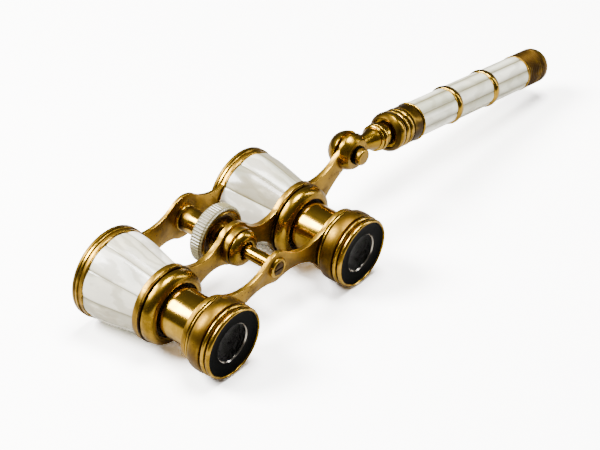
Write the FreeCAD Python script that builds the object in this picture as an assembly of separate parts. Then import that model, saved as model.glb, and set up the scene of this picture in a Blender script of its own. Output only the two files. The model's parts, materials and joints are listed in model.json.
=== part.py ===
"""Opera glasses with a folding, extending handle.

Every piece is drawn in the frame of the glasses: X runs across the two barrels, Y runs along the
optical axes from the eyecups to the objectives, and Z is up. The eyecup fronts are at Y = 0 and the
barrel axes at Z = 0. The finished set is then tipped so that the objective rims and the eyecups
both rest on the table, with the origin under the middle of its box.
"""
import FreeCAD, Part
import math
import os
from FreeCAD import Placement, Rotation, Vector

# ---- Driving dimensions, millimetres and degrees ----
barrel_spacing = 62.0        # between the two optical axes
axle_height = 6.3            # focusing rod above the plane of the barrel axes

draw_radius = 8.4            # outside of the sliding tubes
draw_wall = 0.7
draw_shown = 11.3            # bare draw tube between rear bridge and collars
draw_hold = 0.5              # draw tube left past the neck when it is right out
slide_fit = 0.05             # radial clearance of every running fit
focus_in = 10.5              # travel of the eyepieces towards the objectives
focus_out = 1.5              # travel away from them

cup_depth = 3.9              # draw tube to the outside of the eyecup
eyecup_length = 9.6
eyecup_gap = 0.6             # shoulder between an eyecup and the rear bridge
cup_band_start = 4.4         # eyecup's front to its broad band
cup_lip = 1.4                # outside of the eyecup to its black face
cell_wall = 0.6              # lens cell, between the draw tube's bore and the bright ring
lens_ring_width = 0.8

felt_depth = 0.9             # draw tube to the mouth of the collar
felt_width = 1.4
guide_wall = 1.2             # sleeve that the draw tube slides in
tube_wall = 0.8
collar_wall = 2.1            # neck of the barrel to the outside of the collar
collar_length = 4.9

rear_plate = 1.6             # plate thicknesses
middle_plate = 2.0
front_plate = 1.3
rear_ring_width = 2.6        # draw tube to the edge of the rear bridge
middle_ring_width = 0.4      # collar to the edge of the middle bridge
front_ring_width = 0.2       # cladding to the edge of the front bridge
rear_boss_width = 3.05       # rod to the edge of each bridge's centre boss
middle_boss_width = 1.0      # bush to the edge of the boss
front_boss_width = 3.8       # post to the edge of the boss

barrel_length = 18.9         # cladding between the middle bridge and the bead
stave_thickness = 1.3
stave_count = 10
seam = 0.12                  # gap between staves
small_end_step = 1.4         # neck of the barrel to the outside of the cladding
large_end_step = 1.2         # front neck of the barrel to the outside of the cladding
bead_width = 0.5
bezel_length = 2.6
rim_step = 0.4               # front bridge's edge to the rim
rim_round = 0.6
objective_radius = 13.0
objective_edge = 3.0         # thickness of the objective at its rim
lens_lap = 0.8               # how far the seat and the retaining ring lap over the objective
lens_recess = 1.4            # objective's back face behind the bead

rod_radius = 2.35
rod_clearance = 0.3          # rod in the bore of the post
bush_wall = 4.05             # rod to the outside of the bush
bush_length = 5.4
post_wall = 1.85             # rod to the outside of the post
sleeve_wall = 0.8
wheel_radius = 10.3
wheel_width = 5.4
wheel_ribs = 60
rib_depth = 0.35
wheel_lip = 0.35             # rolled rims stand this far proud of the tread
wheel_gap = 3.0              # middle bridge to the wheel
play = 0.15                  # end play of the wheel and cheek play of the hinge

pivot_reach = 27.2           # handle hinge beyond the axis of the right barrel
pivot_z = 13.95
handle_angle = -7.5          # direction of the handle, from +X towards +Z
tab_radius = 5.4
ball_cover = 1.3             # the ball reaches this far over the tab
neck_sink = 0.8              # the neck starts this far inside the ball
slot_reach = 5.1             # the ball's slot is open up to here, short of the neck
pin_radius = 1.8
pin_head_width = 1.1         # pin to the edge of its head
neck_length = 8.0
inner_radius = 4.4           # telescoping tube of the handle
inner_wall = 0.6
inner_length = 77.0
slider_wall = 0.9            # telescoping tube to the core tube of the grip
ferrule_length = 15.9
core_wall = 0.5
grip_section = 20.65
grip_ring_width = 3.4
grip_sections = 3
grip_staves = 8
cap_length = 16.9
cap_ridges = 8

# ---- Radii, each from the piece it fits to ----
collar_mouth = draw_radius + felt_depth
guide_radius = draw_radius + guide_wall
neck_radius = guide_radius + tube_wall
collar_radius = neck_radius + collar_wall
eyecup_radius = draw_radius + cup_depth
eye_face_radius = eyecup_radius - cup_lip
eye_ring_radius = draw_radius - draw_wall - cell_wall
eye_lens_radius = eye_ring_radius - lens_ring_width
rear_ring_radius = draw_radius + rear_ring_width
middle_ring_radius = collar_radius + middle_ring_width
small_end_radius = neck_radius + small_end_step
front_neck_radius = objective_radius + tube_wall
large_end_radius = front_neck_radius + large_end_step
front_ring_radius = large_end_radius + front_ring_width
rim_radius = front_ring_radius + rim_step
lens_seat = objective_radius - lens_lap
bush_radius = rod_radius + bush_wall
post_radius = rod_radius + post_wall
post_bore = rod_radius + rod_clearance
sleeve_radius = rod_radius + slide_fit + sleeve_wall
dish_radius = wheel_radius - 1.1
ball_radius = tab_radius + ball_cover
neck_start = ball_radius - neck_sink
pin_head_radius = pin_radius + pin_head_width
core_radius = inner_radius + slider_wall
handle_radius = core_radius + stave_thickness

# ---- Places along the optical axis, worked out from the sizes above ----
half_spacing = barrel_spacing / 2
rear_y = eyecup_length + eyecup_gap
collar_y = rear_y + rear_plate + draw_shown
middle_y = collar_y + collar_length
cladding_y = middle_y + middle_plate
bead_y = cladding_y + barrel_length
front_y = bead_y + bead_width
bezel_y = front_y + front_plate
rim_y = bezel_y + bezel_length
draw_end_y = cladding_y + draw_hold + focus_out
wheel_y = cladding_y + wheel_gap
sleeve_end_y = wheel_y + wheel_width + 2.4
post_y = sleeve_end_y + play
rod_end_y = wheel_y + wheel_width - 0.9
pivot_x = half_spacing + pivot_reach
pivot_y = middle_y + middle_plate / 2
ferrule_start = neck_start + neck_length + 6.5
grip_start = ferrule_start + ferrule_length
cap_start = grip_start + grip_sections * grip_section + (grip_sections - 1) * grip_ring_width

SIDES = (("left", -half_spacing), ("right", half_spacing))
BARREL_AXIS = Vector(0, 1, 0)


# ---- Drawing helpers ----
def outline_face(points, at=lambda a, b: Vector(a, b, 0)):
    """Closed face. A pair is the end of a straight edge; four numbers are an arc's middle and end."""
    edges = []
    last = at(*points[0][-2:])
    for point in points[1:] + points[:1]:
        end = at(*point[-2:])
        if len(point) == 4:
            edges.append(Part.Arc(last, at(*point[:2]), end).toShape())
        elif (end - last).Length > 1e-7:
            edges.append(Part.LineSegment(last, end).toShape())
        last = end
    return Part.Face(Part.Wire(edges))


def turned(points, x=0.0, z=0.0):
    """A lathe-turned piece about a line along Y through (x, z); points are (radius, y)."""
    solid = outline_face(points).revolve(Vector(0, 0, 0), BARREL_AXIS, 360)
    solid.translate(Vector(x, 0, z))
    return solid


def dome_middle(rim, rim_y_at, pole):
    """Middle point of the arc from the pole on the axis to (rim, rim_y_at), part of one sphere."""
    rise = rim_y_at - pole
    sphere = (rim * rim + rise * rise) / (2 * rise)
    half = math.asin(rim / sphere) / 2
    return abs(sphere * math.sin(half)), pole + sphere * (1 - math.cos(half))


def ring(inner, outer, y, length, x=0.0, z=0.0):
    return turned([(inner, y), (outer, y), (outer, y + length), (inner, y + length)], x, z)


def rod(radius, y, length, x=0.0, z=0.0):
    return Part.makeCylinder(radius, length, Vector(x, y, z), BARREL_AXIS)


def on_handle(shape):
    """Lay a piece drawn from the hinge along +Y, pin head towards +Z, in the handle's own direction."""
    shape = shape.copy()
    flat = Rotation(Vector(0, 0, -1), Vector(1, 0, 0), Vector(0, -1, 0), "ZXY")
    turn = Rotation(Vector(0, 1, 0), -handle_angle).multiply(flat)
    shape.Placement = Placement(Vector(pivot_x, pivot_y, pivot_z), turn).multiply(shape.Placement)
    return shape


def one_solid(shape):
    shape = shape.removeSplitter()
    return shape.Solids[0] if len(shape.Solids) == 1 else shape


# ---- Bridge plates ----
def link(start, start_radius, end, end_radius, waist, waist_at, opening, closing, y, thickness):
    """Flat arm between two discs, its two edges hollow arcs through the waist.

    waist is how far the edges pass from the line of centres, left then right of the way to the
    end; opening and closing are the angles at which the same edges leave the first disc and meet
    the second.
    """
    along = Vector(end[0] - start[0], 0, end[1] - start[1])
    span = along.Length
    along.normalize()
    across = Vector(-along.z, 0, along.x)
    first = Vector(start[0], y, start[1])
    last = Vector(end[0], y, end[1])

    def rim(centre, radius, direction, angle):
        a = math.radians(angle)
        return centre + direction * (radius * math.cos(a)) + across * (radius * math.sin(a))

    middle = first + along * (span * waist_at)
    left = [rim(first, start_radius, along, opening[0]), middle + across * waist[0],
            rim(last, end_radius, along * -1, closing[0])]
    right = [rim(last, end_radius, along * -1, -closing[1]), middle - across * waist[1],
             rim(first, start_radius, along, -opening[1])]
    edges = [Part.Arc(*left).toShape(), Part.LineSegment(left[2], right[0]).toShape(),
             Part.Arc(*right).toShape(), Part.LineSegment(right[2], left[0]).toShape()]
    return Part.Face(Part.Wire(edges)).extrude(BARREL_AXIS * thickness)


def bridge(y, thickness, ring_radius, ring_bore, boss_radius, boss_bore, waist, opening, extra=()):
    """One bridge: two rings, a raised centre boss, and hollow-sided arms between them.

    waist and opening are each for the top edge of an arm, then for its bottom edge.
    """
    plate = rod(boss_radius, y, thickness, 0, axle_height)
    for side, x in SIDES:
        turn = 1 if x < 0 else -1
        plate = plate.fuse(rod(ring_radius, y, thickness, x))
        plate = plate.fuse(link((x, 0), ring_radius, (0, axle_height), boss_radius, waist[::turn], 0.6,
                                opening[::turn], (62, 62), y, thickness))
    for piece in extra:
        plate = plate.fuse(piece)
    for side, x in SIDES:
        plate = plate.cut(rod(ring_bore, y - 1, thickness + 2, x))
    return one_solid(plate.cut(rod(boss_bore, y - 1, thickness + 2, 0, axle_height)))


def rear_bridge():
    return bridge(rear_y, rear_plate, rear_ring_radius, draw_radius,
                  rod_radius + rear_boss_width, rod_radius, (2.6, 2.6), (48, 48))


def mid_bridge():
    """The middle bridge runs on past the right barrel as the arm and round tab of the hinge."""
    arm = link((half_spacing, 0), middle_ring_radius, (pivot_x, pivot_z), tab_radius, (3.1, 4.7), 0.66,
               (60, 54), (50, 54), middle_y, middle_plate)
    tab = rod(tab_radius, middle_y, middle_plate, pivot_x, pivot_z)
    plate = bridge(middle_y, middle_plate, middle_ring_radius, neck_radius,
                   bush_radius + middle_boss_width, rod_radius + slide_fit, (3.3, 3.3), (48, 48),
                   (arm, tab))
    return one_solid(plate.cut(rod(pin_radius + slide_fit, middle_y - 1, middle_plate + 2,
                                   pivot_x, pivot_z)))


def front_bridge():
    return bridge(front_y, front_plate, front_ring_radius, front_neck_radius,
                  post_radius + front_boss_width, post_radius - 1.0, (5.4, 4.3), (72, 48))


# ---- Barrels, fixed in the frame ----
def cladding_line(inset):
    """Bell of the cladding moved inwards by inset: small end, end of the cone, and the arc's
    middle and end, where the bell has swelled out to run level with the axis."""
    rise = large_end_radius - small_end_radius
    return ((small_end_radius - inset, cladding_y),
            (small_end_radius + 0.75 * rise - inset, cladding_y + 0.6 * barrel_length),
            (small_end_radius + 0.9375 * rise - inset, cladding_y + 0.8 * barrel_length),
            (large_end_radius - inset, bead_y))


def barrel_tube(x):
    """Spun brass body: rear neck in the collar, bell under the staves, front neck in the bezel."""
    low, cone, mid, high = cladding_line(stave_thickness)
    bore_cone = cladding_line(stave_thickness + tube_wall)[1]
    guide_end = cladding_y + 1.0
    seat_y = bead_y - lens_recess
    return turned([(guide_radius, middle_y - 2.2), (neck_radius, middle_y - 2.2),
                   (neck_radius, cladding_y), low, cone, mid + high, (front_neck_radius, bead_y),
                   (front_neck_radius, rim_y - 0.9), (objective_radius, rim_y - 0.9),
                   (objective_radius, seat_y), (lens_seat, seat_y), (lens_seat, seat_y - 0.8),
                   bore_cone, (guide_radius + 0.25, guide_end + 1.5), (guide_radius, guide_end)], x)


def barrel_staves(x):
    """Mother-of-pearl staves round the bell, each a separate slip with fine seams."""
    low, cone, mid, high = cladding_line(0.0)
    b_low, b_cone, b_mid, b_high = cladding_line(stave_thickness)
    clad = turned([b_low, low, cone, mid + high, b_high, b_mid + b_cone], x)
    slots = []
    for i in range(stave_count):
        slot = Part.makeBox(seam, barrel_length + 2, 2 * large_end_radius,
                            Vector(x - seam / 2, cladding_y - 1, 0))
        slot.rotate(Vector(x, 0, 0), BARREL_AXIS, 360.0 * (i + 0.5) / stave_count)
        slots.append(slot)
    return clad.cut(Part.makeCompound(slots))


def bead_ring(x):
    """Thin gilt bead between the cladding and the front bridge."""
    out = front_ring_radius
    return turned([(front_neck_radius, bead_y), (out - 0.2, bead_y),
                   (out, bead_y + bead_width / 2, out - 0.2, front_y), (front_neck_radius, front_y)], x)


def objective_bezel(x):
    """Screwed rim that holds the objective: a plain band and a rounded lip."""
    inner = front_neck_radius
    out = rim_radius
    return turned([(inner, bezel_y), (out - 0.25, bezel_y), (out, bezel_y + 0.25),
                   (out, rim_y - rim_round), (out - 0.18, rim_y - 0.18, out - rim_round, rim_y),
                   (inner + 0.3, rim_y), (lens_seat + 0.4, rim_y - 0.5), (lens_seat + 0.4, rim_y - 0.9),
                   (inner, rim_y - 0.9)], x)


def objective_lens(x):
    """Cemented objective, bowed on both faces."""
    back = bead_y - lens_recess
    edge = back + objective_edge
    bright = lens_seat - 0.2
    return turned([(0, back - 0.7), dome_middle(bright, back, back - 0.7) + (bright, back),
                   (objective_radius, back), (objective_radius, edge), (bright, edge),
                   dome_middle(bright, edge, edge + 1.6) + (0, edge + 1.6)], x)


def lens_retainer(x):
    """Ring screwed in front of the lens."""
    y = bead_y - lens_recess + objective_edge
    return ring(lens_seat, objective_radius, y, rim_y - 0.9 - y, x)


def collar(x):
    """Domed collar on the rear face of the middle bridge, open round the draw tube."""
    out = collar_radius
    step = middle_y - 0.7
    return turned([(collar_mouth, collar_y + 0.2), (collar_mouth + 0.2, collar_y),
                   (collar_mouth + 0.7, collar_y),
                   (out - 0.7, collar_y + 0.9, out, collar_y + 2.9), (out, step - 0.55),
                   (out - 0.5, step - 0.3), (out - 0.5, step), (out + 0.35, step),
                   (out + 0.35, middle_y), (neck_radius, middle_y),
                   (neck_radius, middle_y - 2.2), (collar_mouth, middle_y - 2.2)], x)


def felt_ring(x):
    """Dark felt that wipes the draw tube, just inside the collar's mouth."""
    return ring(draw_radius + slide_fit, collar_mouth, collar_y + 0.8, felt_width, x)


def draw_guide(x):
    """Plain sleeve in the barrel that the draw tube slides in."""
    bore = draw_radius + slide_fit
    y = collar_y + 0.8 + felt_width
    neck_y = middle_y - 2.2
    return turned([(bore, y), (collar_mouth, y), (collar_mouth, neck_y), (guide_radius, neck_y),
                   (guide_radius, cladding_y + 1.0), (bore, cladding_y + 1.0)], x)


# ---- Eyepieces, which slide together ----
def draw_tube(x):
    return ring(draw_radius - draw_wall, draw_radius, 3.5, draw_end_y - 3.5, x)


def eyecup_shell(x):
    """Turned eyecup: two rounded rings, a broad band, a neck and a thin flange."""
    out = eyecup_radius
    face = eye_face_radius
    end = eyecup_length
    band = cup_band_start
    return turned([(face, 0.35), (face + 0.25, 0.0), (out - 0.9, 0.0), (out - 0.35, 0.55, out - 0.5, 1.5),
                   (out - 1.1, 1.75), (out - 1.1, 2.05), (out - 0.2, 2.75, out - 0.7, 3.45),
                   (out - 1.0, 3.6), (out - 1.0, band - 0.55), (out - 0.1, band - 0.35), (out, band),
                   (out, end - 1.7), (out - 0.3, end - 1.3), (out - 1.9, end - 1.2), (out - 1.9, end - 0.7),
                   (out - 0.9, end - 0.65), (out - 0.9, end - 0.15), (out - 1.1, end),
                   (draw_radius + 1.0, end), (draw_radius + 1.0, rear_y), (draw_radius, rear_y),
                   (draw_radius, 3.5), (draw_radius - draw_wall, 3.5), (draw_radius - draw_wall, 2.2),
                   (face, 2.2)], x)


def eyecup_face(x):
    """Black dished washer between the eyecup's lip and the lens ring."""
    return turned([(eye_ring_radius, 1.1), (eye_face_radius, 0.35), (eye_face_radius, 2.2),
                   (draw_radius - draw_wall, 2.2), (eye_ring_radius, 2.2)], x)


def eye_lens_ring(x):
    """Bright ring round the eye lens."""
    r = eye_ring_radius
    return turned([(eye_lens_radius, 1.2), (r - 0.5, 0.85), (r - 0.1, 0.95), (r, 1.1), (r, 3.4),
                   (eye_lens_radius, 3.4)], x)


def eye_lens(x):
    """Hollow eye lens, thinner in the middle than at the rim."""
    r = eye_lens_radius
    return turned([(0, 2.1), dome_middle(r, 1.45, 2.1) + (r, 1.45), (r, 4.0),
                   dome_middle(r, 4.0, 3.3) + (0, 3.3)], x)


def eye_lens_cell(x):
    """Threaded cell behind the eye lens, screwed into the draw tube."""
    r = draw_radius - draw_wall
    return turned([(eye_ring_radius, 2.2), (r, 2.2), (r, 7.4), (eye_lens_radius - 0.7, 7.4),
                   (eye_lens_radius - 0.7, 4.0), (eye_lens_radius, 4.0), (eye_lens_radius, 3.4),
                   (eye_ring_radius, 3.4)], x)


def focus_rod():
    """Steel-cored screw rod from the rear bridge, through bush and wheel, into the post."""
    y = rear_y + 0.3
    return turned([(0, y), (rod_radius, y), (rod_radius, rod_end_y - 0.5), (rod_radius - 0.5, rod_end_y),
                   (0, rod_end_y)], 0, axle_height)


def rod_boss():
    """Raised ring round the rod's end on the rear bridge."""
    out = rod_radius + 1.1
    return turned([(rod_radius, rear_y - 0.9), (out - 0.4, rear_y - 0.9),
                   (out, rear_y - 0.75, out, rear_y - 0.4), (out, rear_y), (rod_radius, rear_y)],
                  0, axle_height)


def rod_end_screw():
    """Slotted screw that holds the rear bridge to the rod."""
    y = rear_y - 1.2
    screw = turned([(0, y), (rod_radius - 0.45, y), (rod_radius, y + 0.35), (rod_radius, rear_y + 0.3),
                    (0, rear_y + 0.3)], 0, axle_height)
    slot = Part.makeBox(2 * rod_radius + 1, 0.45, 0.6,
                        Vector(-rod_radius - 0.5, y - 0.01, axle_height - 0.3))
    return one_solid(screw.cut(slot))


# ---- Focus wheel ----
def wheel_sleeve():
    """Nut of the focusing screw; it turns between the middle bridge and the front post."""
    bore = rod_radius + slide_fit
    flange = sleeve_radius + 0.7
    y = cladding_y + play
    return turned([(bore, y), (flange, y), (flange, y + 0.9), (sleeve_radius, y + 1.3),
                   (sleeve_radius, sleeve_end_y - 1.2), (flange, sleeve_end_y - 0.9),
                   (flange, sleeve_end_y), (bore, sleeve_end_y)], 0, axle_height)


def wheel_dish(y, inward):
    """Dished flange of the wheel with a rolled rim; inward is the way to the other flange along Y."""
    deep = wheel_width / 2 - wheel_lip
    hub = sleeve_radius
    rolled = dish_radius
    return turned([(hub, y + inward * deep), (hub, y + inward * 0.5),
                   (hub + 1.1, y + inward * 1.45, hub + 3.0, y + inward * 1.5),
                   (rolled - 1.0, y + inward * 0.6, rolled - 0.9, y),
                   (rolled - 0.4, y - inward * 0.3, rolled, y + inward * 0.2),
                   (rolled, y + inward * 0.8), (rolled - 1.2, y + inward * 1.3),
                   (hub + 1.8, y + inward * deep)], 0, axle_height)


def wheel_rim():
    """Mother-of-pearl tread with fine ribs along its width."""
    out = wheel_radius
    y0, y1 = wheel_y + wheel_lip, wheel_y + wheel_width - wheel_lip
    rolled = dish_radius
    tread = turned([(sleeve_radius + 1.8, (y0 + y1) / 2), (rolled - 1.2, y0 + 1.3), (rolled, y0 + 0.8),
                    (rolled, y0), (out - 0.7, y0), (out - 0.2, y0 + 0.2, out, y0 + 0.8), (out, y1 - 0.8),
                    (out - 0.2, y1 - 0.2, out - 0.7, y1), (rolled, y1), (rolled, y1 - 0.8),
                    (rolled - 1.2, y1 - 1.3)], 0, axle_height)
    groove = Part.makeCylinder(rib_depth, wheel_width + 2, Vector(0, wheel_y - 1, axle_height + out),
                               BARREL_AXIS)
    grooves = []
    for i in range(wheel_ribs):
        copy = groove.copy()
        copy.rotate(Vector(0, 0, axle_height), BARREL_AXIS, 360.0 * i / wheel_ribs)
        grooves.append(copy)
    return one_solid(tread.cut(Part.makeCompound(grooves)))


# ---- Centre fittings of the frame ----
def centre_bush():
    """Domed bush on the middle bridge that guides the focusing rod."""
    y = middle_y - bush_length
    bore = rod_radius + slide_fit
    return turned([(bore, middle_y), (bore, y + 1.3), (rod_radius + 0.7, y + 1.3), (rod_radius + 0.7, y),
                   (bush_radius - 2.1, y), (bush_radius - 0.5, y + 0.6, bush_radius - 0.2, y + 2.0),
                   (bush_radius - 0.9, y + 2.3), (bush_radius - 0.9, y + 2.7), (bush_radius, y + 3.0),
                   (bush_radius, middle_y)], 0, axle_height)


def front_post():
    """Hollow post on the front bridge that takes the rod's front end."""
    return turned([(post_bore, post_y), (post_radius - 0.4, post_y), (post_radius, post_y + 0.4),
                   (post_radius, front_y), (post_radius - 1.0, front_y),
                   (post_radius - 1.0, bezel_y), (post_bore, bezel_y)], 0, axle_height)


def front_post_screw():
    """Slotted cap screw that closes the post on the front bridge."""
    y = rod_end_y + focus_in + 0.3
    screw = turned([(0, y), (post_bore, y), (post_bore, bezel_y), (post_radius + 0.4, bezel_y),
                    (post_radius + 0.4, bezel_y + 0.5), (post_radius - 0.8, bezel_y + 1.1),
                    (0, bezel_y + 1.3)], 0, axle_height)
    slot = Part.makeBox(2 * post_radius + 2, 1.0, 0.9,
                        Vector(-post_radius - 1, bezel_y + 0.7, axle_height - 0.45))
    return one_solid(screw.cut(slot))


# ---- Handle: hinge end ----
def knuckle():
    """Slotted ball with its neck; the slot takes the tab and leaves the ball open to the arm."""
    ball = Part.makeSphere(ball_radius)
    n = neck_start
    end = n + neck_length
    foot = inner_radius - 0.2
    neck = turned([(0, n - 2.0), (foot - 1.9, n - 2.0), (foot - 1.9, n + 0.4),
                   (foot - 1.35, n + 3.8, foot - 0.3, end - 0.4), (foot - 0.3, end), (0, end)])
    body = ball.fuse(neck)
    half_slot = middle_plate / 2 + play
    slot = Part.makeCylinder(tab_radius + 0.4, 2 * half_slot, Vector(0, 0, -half_slot), Vector(0, 0, 1))
    mouth = Part.makeBox(4 * ball_radius, ball_radius + 1 + slot_reach, 2 * half_slot,
                         Vector(-2 * ball_radius, -ball_radius - 1, -half_slot))
    flat = Part.makeBox(20, 20, 10, Vector(-10, -10, pin_seat()))
    back_flat = Part.makeBox(20, 20, 10, Vector(-10, -10, -pin_seat() - 0.9 - 10))
    shank = Part.makeCylinder(pin_radius, 30, Vector(0, 0, -15), Vector(0, 0, 1))
    body = body.cut(Part.makeCompound([flat, back_flat])).cut(slot).cut(mouth).cut(shank)
    return on_handle(one_solid(body))


def pin_seat():
    """Height of the ball's flat under the pin head, from the hinge plane."""
    return 0.64 * ball_radius


def hinge_pin():
    """Hinge pin with a thick cheese head on the eyepiece side."""
    seat = pin_seat()
    head = seat + 0.6
    pin = turned([(0, -seat - 0.9), (pin_radius, -seat - 0.9), (pin_radius, head), (pin_head_radius, head),
                  (pin_head_radius, head + 1.9), (pin_head_radius - 0.4, head + 2.3), (0, head + 2.3)])
    pin.rotate(Vector(0, 0, 0), Vector(1, 0, 0), 90)
    return on_handle(pin)


def pin_washer():
    """Dark washer under the pin head."""
    seat = pin_seat()
    washer = ring(pin_radius, pin_head_radius + 0.45, seat, 0.6)
    washer.rotate(Vector(0, 0, 0), Vector(1, 0, 0), 90)
    return on_handle(washer)


def neck_collar():
    """Stepped double collar between the neck and the telescoping tube."""
    y = neck_start + neck_length
    r = inner_radius
    return on_handle(turned([(0, y), (r, y), (r + 0.3, y + 0.5, r, y + 1.0), (r - 0.3, y + 1.2),
                             (r - 0.3, y + 1.5), (r + 0.5, y + 1.9), (r + 0.5, y + 3.0), (r + 0.1, y + 3.3),
                             (r + 0.1, y + 3.8), (r - inner_wall, y + 3.8),
                             (r - inner_wall, y + 5.8), (0, y + 5.8)]))


def inner_tube():
    y = neck_start + neck_length + 3.8
    return on_handle(ring(inner_radius - inner_wall, inner_radius, y, inner_length))


def tube_stop():
    """Ring on the tube's far end; it meets the ferrule's bush when the handle is drawn out."""
    y = neck_start + neck_length + 3.8 + inner_length
    bore = core_radius - core_wall - slide_fit
    return on_handle(turned([(0, y - 4), (inner_radius - inner_wall, y - 4), (inner_radius - inner_wall, y),
                             (bore, y), (bore, y + 2.0), (0, y + 2.0)]))


# ---- Handle: sliding grip ----
def grip_ferrule():
    """Domed brass ferrule with turned rings, at the hinge end of the grip."""
    y = ferrule_start
    end = y + ferrule_length
    out = handle_radius + 0.2
    mouth = inner_radius + 0.95
    points = [(mouth, y), (mouth + 0.5, y - 0.15), (out - 0.5, y + 1.4, out, y + 4.0), (out - 0.1, y + 4.5),
              (out - 0.7, y + 4.6), (out - 0.7, y + 5.1)]
    for start, stop in ((5.1, 7.0), (7.5, 9.6)):
        points += [(out - 0.1, y + start), (out + 0.1, y + (start + stop) / 2, out - 0.1, y + stop),
                   (out - 0.6, y + stop + 0.1), (out - 0.6, y + stop + 0.4)]
    points += [(out - 0.1, y + 10.1), (out - 0.1, end - 1.4), (out - 0.5, end - 1.3),
               (out - 0.5, end - 1.1), (out + 0.2, end - 0.6, out - 0.1, end), (core_radius, end),
               (core_radius, y + 1.2), (mouth, y + 1.2)]
    return on_handle(turned(points))


def ferrule_bush():
    """Plain bush in the ferrule that guides the telescoping tube."""
    y = ferrule_start + 1.2
    return on_handle(ring(inner_radius + slide_fit, core_radius, y, 9.0))


def grip_core_tube():
    y = ferrule_start + 10.2
    return on_handle(ring(core_radius - core_wall, core_radius, y, cap_start + 4.0 - y))


def section_start(index):
    return grip_start + index * (grip_section + grip_ring_width)


def grip_staves_at(index):
    """One section of mother-of-pearl slips; the seams step round from section to section."""
    y = section_start(index)
    sleeve = ring(core_radius, handle_radius, y, grip_section)
    slots = []
    for i in range(grip_staves):
        slot = Part.makeBox(seam, grip_section + 2, 2 * handle_radius, Vector(-seam / 2, y - 1, 0))
        slot.rotate(Vector(0, 0, 0), BARREL_AXIS, 360.0 * (i + 0.35 * index) / grip_staves)
        slots.append(slot)
    return on_handle(sleeve.cut(Part.makeCompound(slots)))


def grip_ring_at(index):
    """Rounded brass ring between two sections of the grip."""
    y = section_start(index) + grip_section
    r = handle_radius
    return on_handle(turned([(core_radius, y), (r, y), (r + 0.1, y + 0.3), (r + 0.1, y + 0.5),
                             (r + 0.55, y + grip_ring_width / 2, r + 0.1, y + grip_ring_width - 0.5),
                             (r + 0.1, y + grip_ring_width - 0.3), (r, y + grip_ring_width),
                             (core_radius, y + grip_ring_width)]))


def end_cap():
    """Ridged, domed cap that closes the grip."""
    y = cap_start
    top = y + cap_length
    out = handle_radius + 0.15
    points = [(core_radius, y), (out, y), (out + 0.1, y + 0.4, out, y + 0.8), (out - 0.3, y + 0.9),
              (out - 0.3, y + 1.1)]
    ridge = (cap_length - 8.0) / cap_ridges
    for i in range(cap_ridges):
        s = y + 1.1 + i * ridge
        points += [(out + 0.05, s + ridge / 2, out - 0.3, s + ridge)]
    shoulder = out - 2.4
    points += [(out, top - 6.5), (out, top - 4.4), (out - 0.7, top - 2.3, shoulder, top - 1.0),
               dome_middle(shoulder, top - 1.0, top) + (0, top), (0, y + 4.0), (core_radius, y + 4.0)]
    return on_handle(turned(points))


# ---- Assembly ----
def pieces():
    made = {"rear_bridge": rear_bridge(), "mid_bridge": mid_bridge(), "front_bridge": front_bridge(),
            "centre_bush": centre_bush(), "front_post": front_post(),
            "front_post_screw": front_post_screw(), "focus_rod": focus_rod(),
            "rod_boss": rod_boss(), "rod_end_screw": rod_end_screw(),
            "wheel_sleeve": wheel_sleeve(), "wheel_rim": wheel_rim(),
            "wheel_rear_dish": wheel_dish(wheel_y + wheel_lip, 1),
            "wheel_front_dish": wheel_dish(wheel_y + wheel_width - wheel_lip, -1),
            "knuckle_ball": knuckle(), "hinge_pin": hinge_pin(), "pin_washer": pin_washer(),
            "neck_collar": neck_collar(), "inner_tube": inner_tube(), "tube_stop": tube_stop(),
            "grip_ferrule": grip_ferrule(), "ferrule_bush": ferrule_bush(),
            "grip_core_tube": grip_core_tube(), "end_cap": end_cap()}
    for i in range(grip_sections):
        made["grip_staves_%d" % (i + 1)] = grip_staves_at(i)
    for i in range(grip_sections - 1):
        made["grip_ring_%d" % (i + 1)] = grip_ring_at(i)
    for side, x in SIDES:
        for make in (barrel_tube, barrel_staves, bead_ring, objective_bezel, objective_lens,
                     lens_retainer, collar, felt_ring, draw_guide, draw_tube, eyecup_shell,
                     eyecup_face, eye_lens_ring, eye_lens, eye_lens_cell):
            made["%s_%s" % (side, make.__name__)] = make(x)
    return made


def rest_tilt():
    """Pitch that brings the objective rims and the eyecup bands onto one table, in degrees."""
    return math.degrees(math.atan2(rim_radius - eyecup_radius, rim_y - rim_round - cup_band_start))


def resting_place(made):
    """Tip the glasses onto the table and put the origin under the middle of their box."""
    tip = Placement(Vector(0, 0, 0), Rotation(Vector(1, 0, 0), rest_tilt()))
    box = None
    for shape in made.values():
        tipped = shape.copy()
        tipped.Placement = tip.multiply(tipped.Placement)
        bounds = tipped.optimalBoundingBox(False)
        if box is None:
            box = bounds
        else:
            box.add(bounds)
    shift = Vector(-(box.XMin + box.XMax) / 2, -(box.YMin + box.YMax) / 2, -box.ZMin)
    return Placement(shift, Rotation()).multiply(tip)


def main():
    os.makedirs("parts", exist_ok=True)
    made = pieces()
    place = resting_place(made)
    for name, shape in made.items():
        shape.Placement = place.multiply(shape.Placement)
        shape.exportStep("parts/%s.step" % name)
    return made, place


MADE, PLACE = main()
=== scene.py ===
"""Finish, light and camera for a pair of brass and mother-of-pearl opera glasses.

Turned pieces are drawn as outlines of (radius, length) in millimetres and spun round one of four
axes: the two barrels, the focusing rod and the handle. Their sizes are measured from the frame.
"""
import json
import math
import bmesh
import bpy
import numpy as np
from mathutils import Matrix, Vector


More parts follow.
